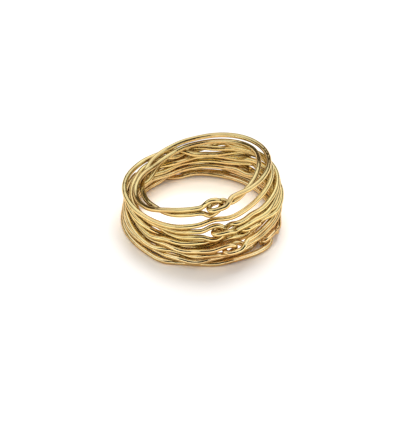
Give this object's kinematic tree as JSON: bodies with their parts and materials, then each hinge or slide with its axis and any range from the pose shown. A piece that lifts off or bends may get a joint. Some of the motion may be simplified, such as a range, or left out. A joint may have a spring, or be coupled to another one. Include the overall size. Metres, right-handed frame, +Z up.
{
  "type": "stackable ring, a bundle of linked thin wire rings",
  "caption": "Stackable finger ring: a bundle of thin polished gold wire rings, each closed by a small eye and hook, crossing each other so that they stay together.",
  "frame": {"origin": "centre of the bundle's outline, on the surface that it lies on", "axes": "+Z up, along the finger hole; the knots face -Y, and the bundle is highest towards +X"},
  "size_m": [0.0204, 0.0208, 0.0093],
  "materials": {
    "gold_wire": "polished gold-filled round wire"
  },
  "bodies": {
    "root": {"tilted_ring": "gold_wire", "upper_ring": "gold_wire", "middle_ring": "gold_wire", "lower_ring": "gold_wire", "base_ring": "gold_wire"}
  },
  "joints": []
}
